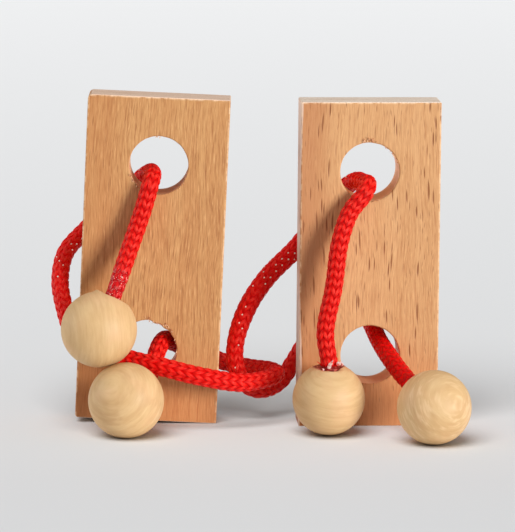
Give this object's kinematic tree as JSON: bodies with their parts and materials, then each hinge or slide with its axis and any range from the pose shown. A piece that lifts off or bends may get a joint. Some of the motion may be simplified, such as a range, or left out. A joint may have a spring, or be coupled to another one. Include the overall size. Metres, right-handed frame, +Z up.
{
  "type": "rope puzzle",
  "caption": "Disentanglement puzzle: upright drilled wooden blocks, each threaded by a red braided cord that ends in wooden balls, the cords hooked together.",
  "frame": {"origin": "centre of the footprint of the blocks and balls, on the surface they stand on", "axes": "+X to the viewer's right, along the row of blocks; +Y to the back, along the drilled holes; +Z up"},
  "size_m": [0.1138, 0.0567, 0.0904],
  "materials": {
    "left_block_wood": "sanded, bare or thinly oiled beech, fine streaks along the grain",
    "right_block_wood": "sanded, bare or thinly oiled beech, short dark flecks along the grain",
    "ball_wood": "smooth turned pale wood",
    "glue": "cured glue, glossy",
    "cord": "round braided synthetic cord, soft sheen"
  },
  "bodies": {
    "right_stand": {"right_block": "right_block_wood", "right_cord_loop": "cord"},
    "left_stand": {"left_block": "left_block_wood", "left_cord_loop": "cord"},
    "left_upper_end": {"left_upper_ball": "ball_wood", "left_upper_glue": "glue", "left_cord_upper_tail": "cord"},
    "left_lower_end": {"left_lower_ball": "ball_wood", "left_lower_glue": "glue", "left_cord_lower_tail": "cord"},
    "right_upper_end": {"right_upper_ball": "ball_wood", "right_upper_glue": "glue", "right_cord_upper_tail": "cord"},
    "right_lower_end": {"right_lower_ball": "ball_wood", "right_lower_glue": "glue", "right_cord_lower_tail": "cord"}
  },
  "joints": [
    {"name": "left_block_slide", "type": "slide", "parent": "right_stand", "child": "left_stand", "axis": [1, 0, 0], "range_m": [-0.01, 0], "deforming": ["left_cord_loop", "right_cord_loop"]},
    {"name": "left_upper_swing", "type": "hinge", "parent": "left_stand", "child": "left_upper_end", "pos_m": [-0.033, 0.0087, 0.0613], "axis": [-1, 0, 0], "range_deg": [0, 90], "deforming": ["left_cord_upper_tail", "left_cord_loop"]},
    {"name": "left_lower_pull", "type": "slide", "parent": "left_stand", "child": "left_lower_end", "axis": [0, -1, 0], "range_m": [0, 0.008], "deforming": ["left_cord_lower_tail", "left_cord_loop"]},
    {"name": "right_upper_swing", "type": "hinge", "parent": "right_stand", "child": "right_upper_end", "pos_m": [0.0223, 0.0057, 0.0594], "axis": [-1, 0, 0], "range_deg": [0, 90], "deforming": ["right_cord_upper_tail", "right_cord_loop"]},
    {"name": "right_lower_swing", "type": "hinge", "parent": "right_stand", "child": "right_lower_end", "pos_m": [0.033, 0.0095, 0.0202], "axis": [0, 0, 1], "range_deg": [-15, 45], "deforming": ["right_cord_lower_tail", "right_cord_loop"]}
  ]
}
